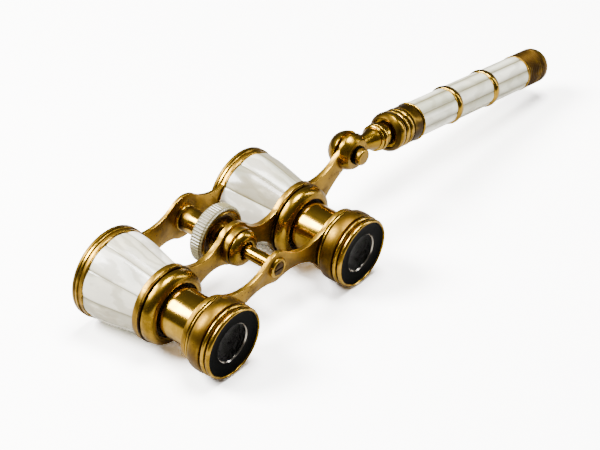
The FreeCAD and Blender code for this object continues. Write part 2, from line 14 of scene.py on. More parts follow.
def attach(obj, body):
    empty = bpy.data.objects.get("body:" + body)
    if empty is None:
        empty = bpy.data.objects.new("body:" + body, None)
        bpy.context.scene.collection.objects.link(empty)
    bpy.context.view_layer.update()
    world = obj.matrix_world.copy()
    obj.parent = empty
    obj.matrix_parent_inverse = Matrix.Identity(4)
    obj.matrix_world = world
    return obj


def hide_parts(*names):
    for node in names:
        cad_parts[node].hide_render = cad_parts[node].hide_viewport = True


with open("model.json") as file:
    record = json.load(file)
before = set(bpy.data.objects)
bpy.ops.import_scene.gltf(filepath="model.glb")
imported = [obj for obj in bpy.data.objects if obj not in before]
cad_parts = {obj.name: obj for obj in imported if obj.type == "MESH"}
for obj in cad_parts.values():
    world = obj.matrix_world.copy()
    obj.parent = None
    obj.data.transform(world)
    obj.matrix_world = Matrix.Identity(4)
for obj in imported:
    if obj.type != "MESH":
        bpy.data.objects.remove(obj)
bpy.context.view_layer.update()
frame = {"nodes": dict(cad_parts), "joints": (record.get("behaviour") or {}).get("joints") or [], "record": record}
joints = {joint["name"]: joint for joint in frame["joints"]}
slots = {part["node"]: part["material_slot"] for part in frame["record"]["subparts"]}

MM = 0.001
SIDES = ("left", "right")


# ---- Frames of reference ----
def node_points(node):
    """Corners of a CAD node in the row frame, as an (n, 3) array in metres."""
    mesh = frame["nodes"][node].data
    points = np.empty(len(mesh.vertices) * 3)
    mesh.vertices.foreach_get("co", points)
    return points.reshape(-1, 3)


def axis_matrix(origin, along, up):
    """Row-frame matrix whose Y runs along an axis and whose Z is up, scaled from millimetres."""
    y = Vector(along).normalized()
    x = y.cross(Vector(up)).normalized()
    z = x.cross(y)
    turn = Matrix((x, y, z)).transposed().to_4x4()
    return Matrix.Translation(origin) @ turn @ Matrix.Scale(MM, 4)


def measured(node, matrix):
    """Lowest and highest corner of a node in an axis frame, in millimetres."""
    inverse = np.array(matrix.inverted())
    points = node_points(node) @ inverse[:3, :3].T + inverse[:3, 3]
    return points.min(axis=0), points.max(axis=0)


optical = joints["focus_slide"]["axis"]
LEVEL = axis_matrix((0, 0, 0), optical, (0, 0, 1))


def optical_axis(node):
    """Frame of a turned piece's own axis, starting in the plane of the eyecups' fronts."""
    low, high = measured(node, LEVEL)
    front = measured("left_eyecup_shell", LEVEL)[0][1]
    centre = Vector(((low[0] + high[0]) / 2, front, (low[2] + high[2]) / 2))
    return axis_matrix(LEVEL @ centre, optical, (0, 0, 1))


AXES = {"left": optical_axis("left_draw_tube"), "right": optical_axis("right_draw_tube"),
        "centre": optical_axis("focus_rod"),
        "handle": axis_matrix(joints["handle_fold"]["pos_m"], joints["handle_extend"]["axis"],
                              joints["handle_fold"]["axis"])}


def extent(node, axis):
    """Start, end and largest radius of a turned piece about its axis, in millimetres."""
    inverse = np.array(AXES[axis].inverted())
    points = node_points(node) @ inverse[:3, :3].T + inverse[:3, 3]
    radius = np.hypot(points[:, 0], points[:, 2]).max()
    return points[:, 1].min(), points[:, 1].max(), radius


# ---- Outlines ----
def bow(start, end, rise, count=10):
    """Points of a shallow curve from start to end that stands out by rise, to the left of the way."""
    a, b = np.array(start, float), np.array(end, float)
    t = np.linspace(0, 1, count + 2)[:, None]
    side = np.array([-(b - a)[1], (b - a)[0]]) / np.linalg.norm(b - a)
    return [tuple(p) for p in a + t * (b - a) + side * rise * 4 * t * (1 - t)]


def rounded(outline, radius, steps=4):
    """Closed outline with each corner over 20 degrees cut back and bridged by a parabola."""
    points = np.array(outline, float)
    before, after = np.roll(points, 1, 0), np.roll(points, -1, 0)
    into, out = points - before, after - points
    len_in, len_out = np.linalg.norm(into, axis=1), np.linalg.norm(out, axis=1)
    turn = np.abs(np.arctan2(into[:, 0] * out[:, 1] - into[:, 1] * out[:, 0], (into * out).sum(1)))
    result = []
    for i, point in enumerate(points):
        if turn[i] < math.radians(20) or point[0] < 1e-6:
            result.append(point)
            continue
        cut = min(radius, 0.4 * len_in[i], 0.4 * len_out[i])
        a = point - into[i] / len_in[i] * cut
        b = point + out[i] / len_out[i] * cut
        t = np.linspace(0, 1, steps + 1)[:, None]
        result.extend((1 - t) ** 2 * a + 2 * t * (1 - t) * point + t ** 2 * b)
    return np.array(result)


def hollow(outline, reach, full):
    """How far each point lies under the straight line between its neighbours at arc distance reach,
    as a share of full: above 0 in a groove, 0 on a plain wall and below 0 on a crest."""
    step = np.linalg.norm(np.roll(outline, -1, 0) - outline, axis=1)
    along = np.concatenate([[0], np.cumsum(step)])
    closed = np.vstack([outline, outline[:1]])

    def at(distance):
        return np.stack([np.interp(distance % along[-1], along, closed[:, k]) for k in (0, 1)], -1)

    back, ahead = at(along[:-1] - reach), at(along[:-1] + reach)
    chord = ahead - back
    across = np.stack([chord[:, 1], -chord[:, 0]], -1) / (np.linalg.norm(chord, axis=1)[:, None] + 1e-9)
    return -((outline - (back + ahead) / 2) * across * turning(outline)).sum(1) / full


def filmed(length, film):
    """Strength of the brown film along the axis; film is a list of (from, to, strength)."""
    strength = np.zeros(len(length))
    for start, end, value in film:
        strength = np.where((length >= start) & (length <= end), value, strength)
    return strength


def turning(outline):
    """1 for an outline that runs anticlockwise, -1 for one that runs clockwise."""
    radius, length = outline[:, 0], outline[:, 1]
    return np.sign(np.sum(radius * np.roll(length, -1) - np.roll(radius, -1) * length))


# ---- Meshes ----
def mesh_piece(name, points, faces, body, material, nodes, values):
    """New object in place of the named nodes, from points in the row frame's metres and their values."""
    mesh = bpy.data.meshes.new(name)
    mesh.from_pydata(points.tolist(), [], faces.tolist())
    for key, data in values.items():
        mesh.attributes.new(key, "FLOAT", "POINT").data.foreach_set("value", data.astype(np.float32))
    build = bmesh.new()
    build.from_mesh(mesh)
    bmesh.ops.remove_doubles(build, verts=build.verts, dist=1e-7)
    bmesh.ops.recalc_face_normals(build, faces=build.faces)
    build.to_mesh(mesh)
    build.free()
    mesh.polygons.foreach_set("use_smooth", [True] * len(mesh.polygons))
    piece = bpy.data.objects.new(name, mesh)
    bpy.context.collection.objects.link(piece)
    mesh.materials.append(material)
    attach(piece, body)
    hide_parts(*nodes)


def grid_faces(rows, columns):
    """Quads of a grid that closes on itself both ways."""
    i, j = np.meshgrid(np.arange(rows), np.arange(columns), indexing="ij")
    i2, j2 = (i + 1) % rows, (j + 1) % columns
    return np.stack([i * columns + j, i * columns + j2, i2 * columns + j2, i2 * columns + j],
                    -1).reshape(-1, 4)


def spun(name, outline, axis, body, material, nodes, segments=128, edge=0.12, relief=None, film=()):
    """Turned piece: x = r sin a, z = r cos a for each point (r, y) of the rounded outline.

    relief, a function of (angle, radius), adds to the radius. Each point also carries how
    deep it lies in a groove, how far it stands out on a crest, whether it faces the axis, how far
    relief has sunk it, and the strength of the brown film there.
    """
    outline = rounded(outline, edge)
    angle = np.linspace(0, 2 * np.pi, segments, endpoint=False)[:, None]
    radius, length = outline[None, :, 0] + 0 * angle, outline[None, :, 1] + 0 * angle
    sunk = 0 * radius if relief is None else relief(angle, radius)
    radius = radius + sunk
    points = np.stack([radius * np.sin(angle), length, radius * np.cos(angle)], -1).reshape(-1, 3)
    matrix = np.array(AXES[axis])
    tangent = np.roll(outline, -1, 0) - np.roll(outline, 1, 0)
    facing = turning(outline) * tangent[:, 1] / (np.linalg.norm(tangent, axis=1) + 1e-9)
    # The 1.8 mm reach spreads the groove value well past each groove; the darkening it drives there is painted
    # shade beside the real patina.
    groove = np.clip(np.maximum(hollow(outline, 0.8, 0.30), hollow(outline, 1.8, 0.9)), 0, 1)
    values = {"groove": np.tile(groove, segments), "seam": np.clip(-sunk / 0.5, 0, 0.6).ravel(),
              "crest": np.tile(np.clip(-hollow(outline, 0.9, 0.35), 0, 1), segments),
              "bore": np.tile((facing < -0.5).astype(float), segments),
              "film": np.tile(filmed(outline[:, 1], film), segments)}
    mesh_piece(name, points @ matrix[:3, :3].T + matrix[:3, 3],
               grid_faces(segments, len(outline)), body, material, nodes, values)


def softened(node, material, edge, width=0.14):
    """Copy of a CAD node with its flat faces joined and its edges rounded over and worn bright."""
    source = frame["nodes"][node]
    mesh = source.data.copy()
    build = bmesh.new()
    build.from_mesh(mesh)
    bmesh.ops.remove_doubles(build, verts=build.verts, dist=1e-6)
    bmesh.ops.dissolve_limit(build, angle_limit=math.radians(0.3), verts=build.verts, edges=build.edges)
    build.to_mesh(mesh)
    build.free()
    piece = bpy.data.objects.new(node + "_softened", mesh)
    bpy.context.collection.objects.link(piece)
    mesh.materials.clear()
    mesh.materials.append(material)
    mesh.materials.append(edge)
    mesh.polygons.foreach_set("use_smooth", [True] * len(mesh.polygons))
    bevel = piece.modifiers.new("edge", "BEVEL")
    bevel.width, bevel.segments, bevel.limit_method = width * MM, 3, "ANGLE"
    bevel.angle_limit = math.radians(35)
    bevel.harden_normals = True
    bevel.material = 1
    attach(piece, next(body for body, parts in frame["record"]["behaviour"]["bodies"].items()
                        if node in parts))
    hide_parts(node)


# ---- Shader tools ----
def node_group(name, inputs, outputs):
    group = bpy.data.node_groups.new(name, "ShaderNodeTree")
    for label, kind, default in inputs:
        socket = group.interface.new_socket(label, in_out="INPUT", socket_type=kind)
        socket.default_value = default
    for label, kind in outputs:
        group.interface.new_socket(label, in_out="OUTPUT", socket_type=kind)
    return group, group.nodes.new("NodeGroupInput"), group.nodes.new("NodeGroupOutput")


def add(tree, kind, values=None, **settings):
    node = tree.nodes.new(kind)
    for key, value in settings.items():
        setattr(node, key, value)
    for key, value in (values or {}).items():
        if isinstance(value, bpy.types.NodeSocket):
            tree.links.new(value, node.inputs[key])
        else:
            node.inputs[key].default_value = value
    return node


def maths(tree, operation, first, second=0.5, clamp=False):
    return add(tree, "ShaderNodeMath", {0: first, 1: second}, operation=operation,
               use_clamp=clamp).outputs[0]


def blend_colour(tree, factor, first, second):
    return add(tree, "ShaderNodeMix", {0: factor, 6: first, 7: second}, data_type="RGBA").outputs[2]


def noise(tree, vector, scale, detail=4.0, rough=0.55):
    return add(tree, "ShaderNodeTexNoise", {"Vector": vector, "Scale": scale, "Detail": detail,
                                            "Roughness": rough}).outputs["Fac"]


def stepped(tree, value, low, high):
    """0 below low, 1 above high, smooth between."""
    return add(tree, "ShaderNodeMapRange", {"Value": value, "From Min": low, "From Max": high},
               interpolation_type="SMOOTHSTEP").outputs["Result"]


def aged_metal_group():
    """Colour, roughness and height of old gilding: mottling, pits, patina and painted shade in grooves, bright
    crests.
    """
    group, source, sink = node_group(
        "aged_gilding",
        [("Metal", "NodeSocketColor", (0.5, 0.26, 0.02, 1)),
         ("Patina", "NodeSocketColor", (0.05, 0.02, 0.004, 1)),
         ("Groove", "NodeSocketFloat", 0.0), ("Crest", "NodeSocketFloat", 0.0),
         ("Film", "NodeSocketFloat", 0.0), ("Tarnish", "NodeSocketFloat", 0.2),
         ("Pits", "NodeSocketFloat", 0.3), ("Polish", "NodeSocketFloat", 0.15)],
        [("Colour", "NodeSocketColor"), ("Roughness", "NodeSocketFloat"), ("Height", "NodeSocketFloat")])
    where = add(group, "ShaderNodeTexCoord").outputs["Object"]
    broad = noise(group, where, 170.0, 6.0, 0.62)
    fine = noise(group, where, 1300.0, 4.0)
    grains = add(group, "ShaderNodeTexVoronoi", {"Vector": where, "Scale": 820.0}).outputs["Distance"]
    pit = maths(group, "MULTIPLY", stepped(group, grains, 0.24, 0.12),
                stepped(group, noise(group, where, 330.0), 0.48, 0.58))
    pit = maths(group, "MULTIPLY", pit, source.outputs["Pits"])
    cloud = maths(group, "MULTIPLY", stepped(group, broad, 0.40, 0.74), source.outputs["Tarnish"])
    # Groove darkening: real patina in the grooves, spread wide enough to act as painted shade in the hollows round
    # them.
    groove_patina_and_shade = maths(group, "MULTIPLY", stepped(group, source.outputs["Groove"], 0.10, 0.60),
                    stepped(group, fine, -0.1, 0.5))
    worn = maths(group, "MULTIPLY", stepped(group, source.outputs["Crest"], 0.15, 0.8),
                 stepped(group, broad, 0.62, 0.40))
    film = maths(group, "MULTIPLY", source.outputs["Film"], stepped(group, broad, 0.10, 0.55))
    dirt_and_groove_shade = maths(group, "MAXIMUM", maths(group, "MAXIMUM", cloud, groove_patina_and_shade), pit)
    kept = maths(group, "SUBTRACT", 1.0, maths(group, "MULTIPLY", worn, 0.8))
    dirt_and_groove_shade = maths(group, "MULTIPLY", dirt_and_groove_shade, kept)
    dirt_and_groove_shade = maths(group, "MAXIMUM", dirt_and_groove_shade, film)
    tint = blend_colour(group, maths(group, "MULTIPLY", fine, 0.3), source.outputs["Metal"],
                        (0.26, 0.125, 0.007, 1))
    tint = blend_colour(group, maths(group, "MULTIPLY", worn, 0.6), tint, (0.66, 0.40, 0.05, 1))
    colour = blend_colour(group, dirt_and_groove_shade, tint, source.outputs["Patina"])
    rough = maths(group, "ADD", source.outputs["Polish"], maths(group, "MULTIPLY", broad, 0.10))
    rough = maths(group, "ADD", rough, maths(group, "MULTIPLY", dirt_and_groove_shade, 0.25), clamp=True)
    height = maths(group, "SUBTRACT", maths(group, "MULTIPLY", fine, 0.25), pit)
    for label, value in (("Colour", colour), ("Roughness", rough), ("Height", height)):
        group.links.new(value, sink.inputs[label])
    return group


def new_material(name):
    material = bpy.data.materials.new(name)
    material.use_nodes = True
    tree = material.node_tree
    return material, tree, tree.nodes["Principled BSDF"]


def bump(tree, height, strength, distance):
    return add(tree, "ShaderNodeBump", {"Height": height, "Strength": strength,
                                        "Distance": distance}).outputs["Normal"]


def point_value(tree, name):
    return add(tree, "ShaderNodeAttribute", attribute_name=name).outputs["Fac"]


AGED = aged_metal_group()


def brass(name, metal, patina, tarnish, pits, polish, relief=0.25, black_bore=False):
    """Gilt or bare brass; a piece's own groove and bore values steer the patina, the painted shade in grooves and
    the blacking.
    """
    material, tree, shader = new_material(name)
    aged = add(tree, "ShaderNodeGroup", node_tree=AGED)
    for label, value in (("Metal", metal + (1,)), ("Patina", patina + (1,)), ("Tarnish", tarnish),
                         ("Pits", pits), ("Polish", polish)):
        aged.inputs[label].default_value = value
    tree.links.new(point_value(tree, "groove"), aged.inputs["Groove"])
    tree.links.new(point_value(tree, "crest"), aged.inputs["Crest"])
    tree.links.new(point_value(tree, "film"), aged.inputs["Film"])
    colour, rough = aged.outputs["Colour"], aged.outputs["Roughness"]
    if black_bore:
        bore = point_value(tree, "bore")
        colour = blend_colour(tree, bore, colour, (0.012, 0.010, 0.008, 1))
        rough = maths(tree, "MAXIMUM", rough, maths(tree, "MULTIPLY", bore, 0.6))
    tree.links.new(colour, shader.inputs["Base Color"])
    tree.links.new(rough, shader.inputs["Roughness"])
    tree.links.new(bump(tree, aged.outputs["Height"], relief, 0.00005), shader.inputs["Normal"])
    shader.inputs["Metallic"].default_value = 1.0
    return material


def pearl(name, stretch, tones, figure=1.0):
    """Mother-of-pearl: each slip has its own tone, with drifting growth bands and a wet polish."""
    material, tree, shader = new_material(name)
    where = add(tree, "ShaderNodeTexCoord").outputs["Object"]
    slip = point_value(tree, "slip")
    shift = add(tree, "ShaderNodeCombineXYZ", {"X": maths(tree, "MULTIPLY", slip, 3.7),
                                               "Z": maths(tree, "MULTIPLY", slip, 1.9)}).outputs[0]
    drift = add(tree, "ShaderNodeVectorMath", {0: where, 1: shift}, operation="ADD").outputs[0]
    drawn = add(tree, "ShaderNodeMapping", {"Vector": drift, "Scale": stretch}).outputs[0]
    broad = noise(tree, drawn, 150.0, 4.0, 0.6)
    glow = noise(tree, drawn, 70.0, 2.0)
    bands = add(tree, "ShaderNodeTexWave", {"Vector": drawn, "Scale": 75.0, "Distortion": 11.0,
                                            "Detail": 4.0, "Detail Scale": 1.6}).outputs["Fac"]
    tone = add(tree, "ShaderNodeValToRGB", {"Fac": slip})
    for step in range(1, len(tones) - 1):
        tone.color_ramp.elements.new(step / (len(tones) - 1))
    for step, shade in enumerate(tones):
        tone.color_ramp.elements[step].color = shade + (1,)
    cream = maths(tree, "MULTIPLY", stepped(tree, broad, 0.48, 0.70), 0.35 * figure)
    cool = maths(tree, "MULTIPLY", stepped(tree, glow, 0.50, 0.34), 0.30 * figure)
    cloudy = maths(tree, "MULTIPLY", stepped(tree, bands, 0.35, 0.95), 0.26 * figure)
    colour = blend_colour(tree, cream, tone.outputs[0], (0.88, 0.80, 0.58, 1))
    colour = blend_colour(tree, cool, colour, (0.29, 0.32, 0.24, 1))
    colour = blend_colour(tree, cloudy, colour, (0.22, 0.19, 0.11, 1))
    colour = blend_colour(tree, point_value(tree, "seam"), colour, (0.105, 0.085, 0.018, 1))
    tree.links.new(colour, shader.inputs["Base Color"])
    rough = maths(tree, "ADD", maths(tree, "MULTIPLY", broad, 0.14), 0.16)
    tree.links.new(rough, shader.inputs["Roughness"])
    tree.links.new(bump(tree, bands, 0.15, 0.00005), shader.inputs["Normal"])
    shader.inputs["IOR"].default_value = 1.56
    shader.inputs["Coat Weight"].default_value = 0.35
    shader.inputs["Coat Roughness"].default_value = 0.08
    return material


def black_lacquer():
    material, tree, shader = new_material("blackened brass")
    where = add(tree, "ShaderNodeTexCoord").outputs["Object"]
    dust = stepped(tree, noise(tree, where, 900.0, 6.0), 0.58, 0.78)
    tree.links.new(blend_colour(tree, dust, (0.0002, 0.0002, 0.0002, 1), (0.0016, 0.0013, 0.001, 1)),
                   shader.inputs["Base Color"])
    rough = maths(tree, "ADD", maths(tree, "MULTIPLY", dust, 0.2), 0.32)
    tree.links.new(rough, shader.inputs["Roughness"])
    shader.inputs["IOR"].default_value = 1.08
    return material


def lens_glass():
    material, tree, shader = new_material("polished lens")
    shader.inputs["Base Color"].default_value = (0.035, 0.040, 0.036, 1)
    shader.inputs["Transmission Weight"].default_value = 1.0
    shader.inputs["IOR"].default_value = 1.12
    where = add(tree, "ShaderNodeTexCoord").outputs["Object"]
    smear = stepped(tree, noise(tree, where, 220.0, 5.0), 0.5, 0.8)
    tree.links.new(maths(tree, "MULTIPLY", smear, 0.05), shader.inputs["Roughness"])
    return material


def felt():
    material, tree, shader = new_material("dark felt")
    where = add(tree, "ShaderNodeTexCoord").outputs["Object"]
    nap = noise(tree, where, 3200.0, 4.0)
    tree.links.new(blend_colour(tree, nap, (0.004, 0.003, 0.002, 1), (0.016, 0.012, 0.008, 1)),
                   shader.inputs["Base Color"])
    tree.links.new(bump(tree, nap, 0.5, 0.0001), shader.inputs["Normal"])
    shader.inputs["Roughness"].default_value = 0.95
    return material


def steel(name, metal, polish):
    return brass(name, metal, (0.05, 0.03, 0.02), 0.35, 0.3, polish)


BROWN = (0.024, 0.010, 0.0015)
BARREL_TONES = ((0.19, 0.170, 0.115), (0.32, 0.290, 0.205), (0.46, 0.440, 0.340), (0.66, 0.625, 0.500),
                (0.84, 0.805, 0.680), (0.94, 0.910, 0.800))
GRIP_TONES = ((0.44, 0.445, 0.325), (0.62, 0.615, 0.480), (0.78, 0.765, 0.620), (0.90, 0.875, 0.740))
# Finish of each material slot, then the finishes that only some pieces have.
FINISH = {
    "gilt_brass": brass("gilt brass", (0.34, 0.196, 0.013), BROWN, 0.55, 0.60, 0.16),
    "polished_brass": brass("polished brass", (0.44, 0.260, 0.022), BROWN, 0.30, 0.25, 0.10),
    "patinated_brass": brass("patinated brass", (0.36, 0.206, 0.013), (0.014, 0.006, 0.001),
                             0.60, 0.40, 0.15),
    "mother_of_pearl": pearl("mother-of-pearl of the barrels", (1.0, 0.45, 1.0), BARREL_TONES, 1.6),
    "lens_glass": lens_glass(),
    "black_lacquer": black_lacquer(),
    "dark_felt": felt(),
    "bright_ring": steel("bright ring", (0.55, 0.53, 0.48), 0.12),
    "dark_steel": steel("dark steel", (0.034, 0.021, 0.009), 0.30),
}
PLATE = brass("satin gilt plate", (0.34, 0.194, 0.018), BROWN, 0.60, 0.95, 0.26, 0.5)
TUBE = brass("drawn brass tube", (0.46, 0.272, 0.020), BROWN, 0.12, 0.20, 0.10, 0.15, black_bore=True)
WHEEL_PEARL = pearl("ribbed mother-of-pearl", (1.0, 1.0, 1.0),
                    ((0.17, 0.145, 0.070), (0.21, 0.182, 0.095)), 0.12)
GRIP_PEARL = pearl("mother-of-pearl of the grip", (0.35, 1.0, 1.0), GRIP_TONES)
CAP = brass("dark end cap", (0.40, 0.22, 0.014), (0.030, 0.014, 0.003), 0.40, 0.4, 0.20)
PLATE_EDGE = brass("worn gilt edge", (0.60, 0.35, 0.035), BROWN, 0.15, 0.2, 0.14)
SCREW_EDGE = brass("worn screw edge", (0.20, 0.135, 0.06), (0.03, 0.02, 0.012), 0.3, 0.2, 0.22)
PIN = brass("worn pin head", (0.30, 0.175, 0.020), BROWN, 0.95, 0.95, 0.24)
CUP = brass("patinated eyecup", (0.38, 0.218, 0.014), (0.040, 0.017, 0.003), 0.70, 0.45, 0.15)


# ---- Turned pieces of each barrel ----
def eyecup_shell(side):
    """Two rounded rings, a broad band, a neck and a thin flange, round the black face."""
    node = side + "_eyecup_shell"
    _, end, out = extent(node, side)
    face = extent(side + "_eyecup_face", side)[2]
    tube = extent(side + "_draw_tube", side)[2]
    flange = end - 1.25
    outline = [(face + 0.02, 2.1), (face + 0.02, 0.3), (face + 0.3, 0.0)]
    outline += bow((out - 0.85, 0.05), (out - 0.75, 1.55), -0.42)
    outline += [(out - 1.15, 1.7), (out - 1.15, 2.0)]
    outline += bow((out - 0.75, 2.1), (out - 0.7, 3.45), -0.5)
    outline += [(out - 1.05, 3.6), (out - 1.05, 3.8)]
    outline += bow((out - 0.3, 4.0), (out - 0.25, 8.2), -0.26)
    outline += [(out - 1.9, 8.4), (out - 1.9, flange)]
    outline += bow((out - 0.95, flange + 0.05), (out - 0.95, end - 0.62), -0.08)
    outline += [(tube + 1.0, end - 0.6), (tube + 1.0, end - 0.02), (tube + 0.02, end - 0.02),
                (tube + 0.02, 3.6), (tube - 0.6, 3.5), (tube - 0.6, 2.1)]
    spun(side + "_eyecup_turning", outline, side, "eyepieces", CUP, [node],
         film=[(3.9, 8.3, 0.82), (8.4, end, 0.25), (1.65, 2.05, 1.0), (3.5, 3.9, 1.0)])


def eyecup_face(side):
    """Black dish that falls from the lip to the lens ring and hides the outer half of the ring."""
    node = side + "_eyecup_face"
    start, _, out = extent(node, side)
    ring_front, _, ring = extent(side + "_eye_lens_ring", side)
    outline = bow((ring - 0.42, ring_front - 0.10), (out, start + 0.05), 0.12)
    outline += [(out, 2.05), (ring + 0.01, 2.05), (ring + 0.01, ring_front - 0.02),
                (ring - 0.42, ring_front - 0.02)]
    spun(side + "_eyecup_dish", outline, side, "eyepieces", FINISH["black_lacquer"], [node])


def draw_tube(side):
    node = side + "_draw_tube"
    start, end, out = extent(node, side)
    outline = [(out - 0.7, start), (out, start), (out, end), (out - 0.7, end)]
    spun(side + "_drawn_tube", outline, side, "eyepieces", TUBE, [node], edge=0.08)


def collar(side):
    """Domed collar with a fine step against the bridge."""
    node = side + "_collar"
    start, end, out = extent(node, side)
    dome = out - 0.35
    mouth = extent(side + "_felt_ring", side)[2]
    outline = [(mouth, end - 2.2), (mouth, start + 0.15), (mouth + 0.15, start), (mouth + 0.75, start)]
    outline += bow((mouth + 0.85, start + 0.05), (dome, start + 2.9), -0.72, 14)
    outline += [(dome, end - 1.25), (dome - 0.5, end - 1.05), (dome - 0.5, end - 0.75),
                (out, end - 0.7), (out, end), (mouth + 1.1, end), (mouth + 1.1, end - 2.2)]
    spun(side + "_collar_turning", outline, side, "frame", FINISH["gilt_brass"], [node],
         film=[(end - 1.3, end, 1.0), (start, start + 0.3, 0.35)])


def bead_ring(side):
    node = side + "_bead_ring"
    start, end, out = extent(node, side)
    inner = out - 1.4
    outline = [(inner, start)] + bow((out - 0.2, start), (out - 0.2, end), -0.2) + [(inner, end)]
    spun(side + "_bead", outline, side, "frame", FINISH["polished_brass"], [node], edge=0.05)


def objective_bezel(side):
    """Rim with a fine turned line round its band and a rounded lip."""
    node = side + "_objective_bezel"
    start, end, out = extent(node, side)
    inner = extent(side + "_objective_lens", side)[2] + 0.8
    outline = [(inner, start), (out - 0.3, start), (out, start + 0.25), (out, start + 0.85),
               (out - 0.4, start + 0.95), (out - 0.4, start + 1.15), (out - 0.05, start + 1.25)]
    outline += bow((out - 0.05, end - 0.7), (out - 0.7, end - 0.02), -0.14)
    outline += [(inner + 0.3, end), (inner - 0.9, end - 0.55), (inner - 0.9, end - 0.95),
                (inner, end - 0.95)]
    spun(side + "_bezel_turning", outline, side, "frame", FINISH["gilt_brass"], [node], edge=0.08,
         film=[(start, start + 0.22, 0.8), (start + 1.2, end - 0.35, 0.75)])


# ---- Mother-of-pearl slips ----
def slip_values(angle, count, turn, seed):
    """Tone of the slip at each angle, unlike its neighbours', and distance from the nearest seam.

    Angles are in radians; the distance is a share of a slip, 0 at a seam and 0.5 in the middle.
    """
    place = (angle / (2 * np.pi) * count + turn) % count
    tones = (np.arange(count) * 0.382 + seed * 0.23) % 1
    return tones[np.floor(place).astype(int) % count], np.abs((place + 0.5) % 1 - 0.5)


def slips(name, outline, axis, body, node, count, turn, seed, crown, soft, material, segments_each=16):
    """Sleeve of separate slips: each is flatter than the circle, with a fine sunken seam between.

    Radius is the outline's, less crown times the square of the way from a slip's middle to its
    seam, less a narrow groove at the seam. soft is how far the seam's stain spreads, in millimetres;
    a wider stain is also stronger.
    """
    outline = rounded(outline, 0.1)
    segments = count * segments_each
    step = np.arange(segments_each) / segments_each
    eased = 0.3 * step + 0.7 * (0.5 - 0.5 * np.cos(np.pi * step))
    angle = ((np.arange(count)[:, None] + eased[None, :]).ravel() - turn) / count * 2 * np.pi
    tone, apart = slip_values(angle + 1e-6, count, turn, seed)
    distance = apart * outline[:, 0].max() * 2 * np.pi / count
    seam = np.clip(1 - distance / 0.14, 0, 1)
    stain = np.maximum(0.9 * seam, (0.2 + 0.3 * soft) * np.clip(1 - distance / soft, 0, 1) ** 1.3)
    outside = (outline[:, 0] > outline[:, 0].min() + 0.2).astype(float)
    sink = crown * (1 - 2 * apart) ** 2 + 0.16 * seam
    radius = outline[None, :, 0] - sink[:, None] * outside[None, :]
    length = outline[None, :, 1] + 0 * radius
    points = np.stack([radius * np.sin(angle)[:, None], length, radius * np.cos(angle)[:, None]],
                      -1).reshape(-1, 3)
    matrix = np.array(AXES[axis])
    rows = len(outline)
    values = {"slip": np.repeat(tone, rows), "seam": np.repeat(stain, rows)}
    mesh_piece(name, points @ matrix[:3, :3].T + matrix[:3, 3], grid_faces(segments, rows), body,
               material, [node], values)


def barrel_slips(side, seed):
    """Bell of the barrel: a cone that swells over its last two fifths to run level with the axis."""
    node = side + "_barrel_staves"
    start, end, large = extent(node, side)
    small = large - 3.2
    t = np.linspace(0, 1, 25)
    bell = small + (large - small) * (1.25 * t - 1.5625 * np.clip(t - 0.6, 0, 1) ** 2)
    outline = list(zip(bell, start + (end - start) * t))
    outline += [(bell[-1] - 1.3, end)] + list(zip(bell[::-3] - 1.3, end - (end - start) * (1 - t[::-3])))
    outline += [(bell[0] - 1.3, start)]
    slips(side + "_barrel_slips", outline, side, "frame", node, 10, 0.5, seed, 0.34, 1.1,
          FINISH["mother_of_pearl"])


def grip_slips(index, seed):
    node = "grip_staves_%d" % index
    start, end, out = extent(node, "handle")
    outline = [(out - 1.3, start), (out - 0.12, start)]
    outline += bow((out, start + 0.25), (out, end - 0.25), -0.0, 6)
    outline += [(out - 0.12, end), (out - 1.3, end)]
    slips("grip_slips_%d" % index, outline, "handle", "handle_grip", node, 8, 0.35 * (index - 1), seed,
          0.20, 2.1, GRIP_PEARL, 20)


# ---- Focus wheel, bush, rod and post ----
def wheel_tread():
    """Pearl tread with fine ribs: the radius falls by the depth times |cos(rib angle)| to the fourth."""
    start, end, out = extent("wheel_rim", "centre")
    ribs, each = 60, 8
    inner = out - 1.15
    outline = [(inner, start), (out - 0.75, start)]
    outline += bow((out - 0.55, start + 0.03), (out - 0.02, start + 0.7), 0.1, 4)
    outline += bow((out - 0.02, end - 0.7), (out - 0.55, end - 0.03), 0.1, 4)
    outline += [(out - 0.75, end), (inner, end)]

    def relief(angle, radius):
        high = np.clip((radius - (out - 0.8)) / 0.6, 0, 1)
        return -0.30 * high * np.abs(np.cos(angle * ribs / 2)) ** 4

    spun("wheel_tread", outline, "centre", "focus_wheel", WHEEL_PEARL, ["wheel_rim"],
         segments=ribs * each, edge=0.06, relief=relief)


def wheel_dish(node, outward):
    """Dished flange with a rolled rim and a raised hub; outward is the way it faces along the axis."""
    start, end, out = extent(node, "centre")
    face, back = (start, end) if outward < 0 else (end, start)
    deep = back - face
    rim = face - outward * 0.3
    outline = [(3.3, face + deep * 0.3)]
    outline += bow((3.3, face + deep * 0.25), (out - 1.0, face + deep * 0.22), outward * -0.95, 18)
    outline += bow((out - 0.95, rim), (out, rim + 0.05 * outward * -1), outward * -0.28, 8)
    outline += [(out, face - outward * 1.0), (out - 1.2, face - outward * 1.5), (5.0, back), (3.3, back)]
    spun(node + "_turning", outline, "centre", "focus_wheel", FINISH["polished_brass"], [node],
         film=[(min(back, face + deep * 0.12), max(back, face + deep * 0.12), 0.45)])


def centre_bush():
    """Bush with a domed nose, a groove and a plain foot."""
    start, end, out = extent("centre_bush", "centre")
    bore = extent("focus_rod", "centre")[2]
    mouth = bore + 0.75
    outline = [(bore + 0.06, end), (bore + 0.06, start + 1.3), (mouth, start + 1.2),
               (mouth, start + 0.1), (mouth + 0.15, start), (out - 2.1, start)]
    outline += bow((out - 2.0, start + 0.03), (out - 0.25, start + 2.1), -0.42, 12)
    outline += [(out - 0.9, start + 2.3), (out - 0.9, start + 2.65), (out, start + 2.95), (out, end)]
    spun("centre_bush_turning", outline, "centre", "frame", FINISH["gilt_brass"], ["centre_bush"],
         film=[(start + 2.2, start + 2.8, 1.0), (start + 2.8, end, 0.4)])


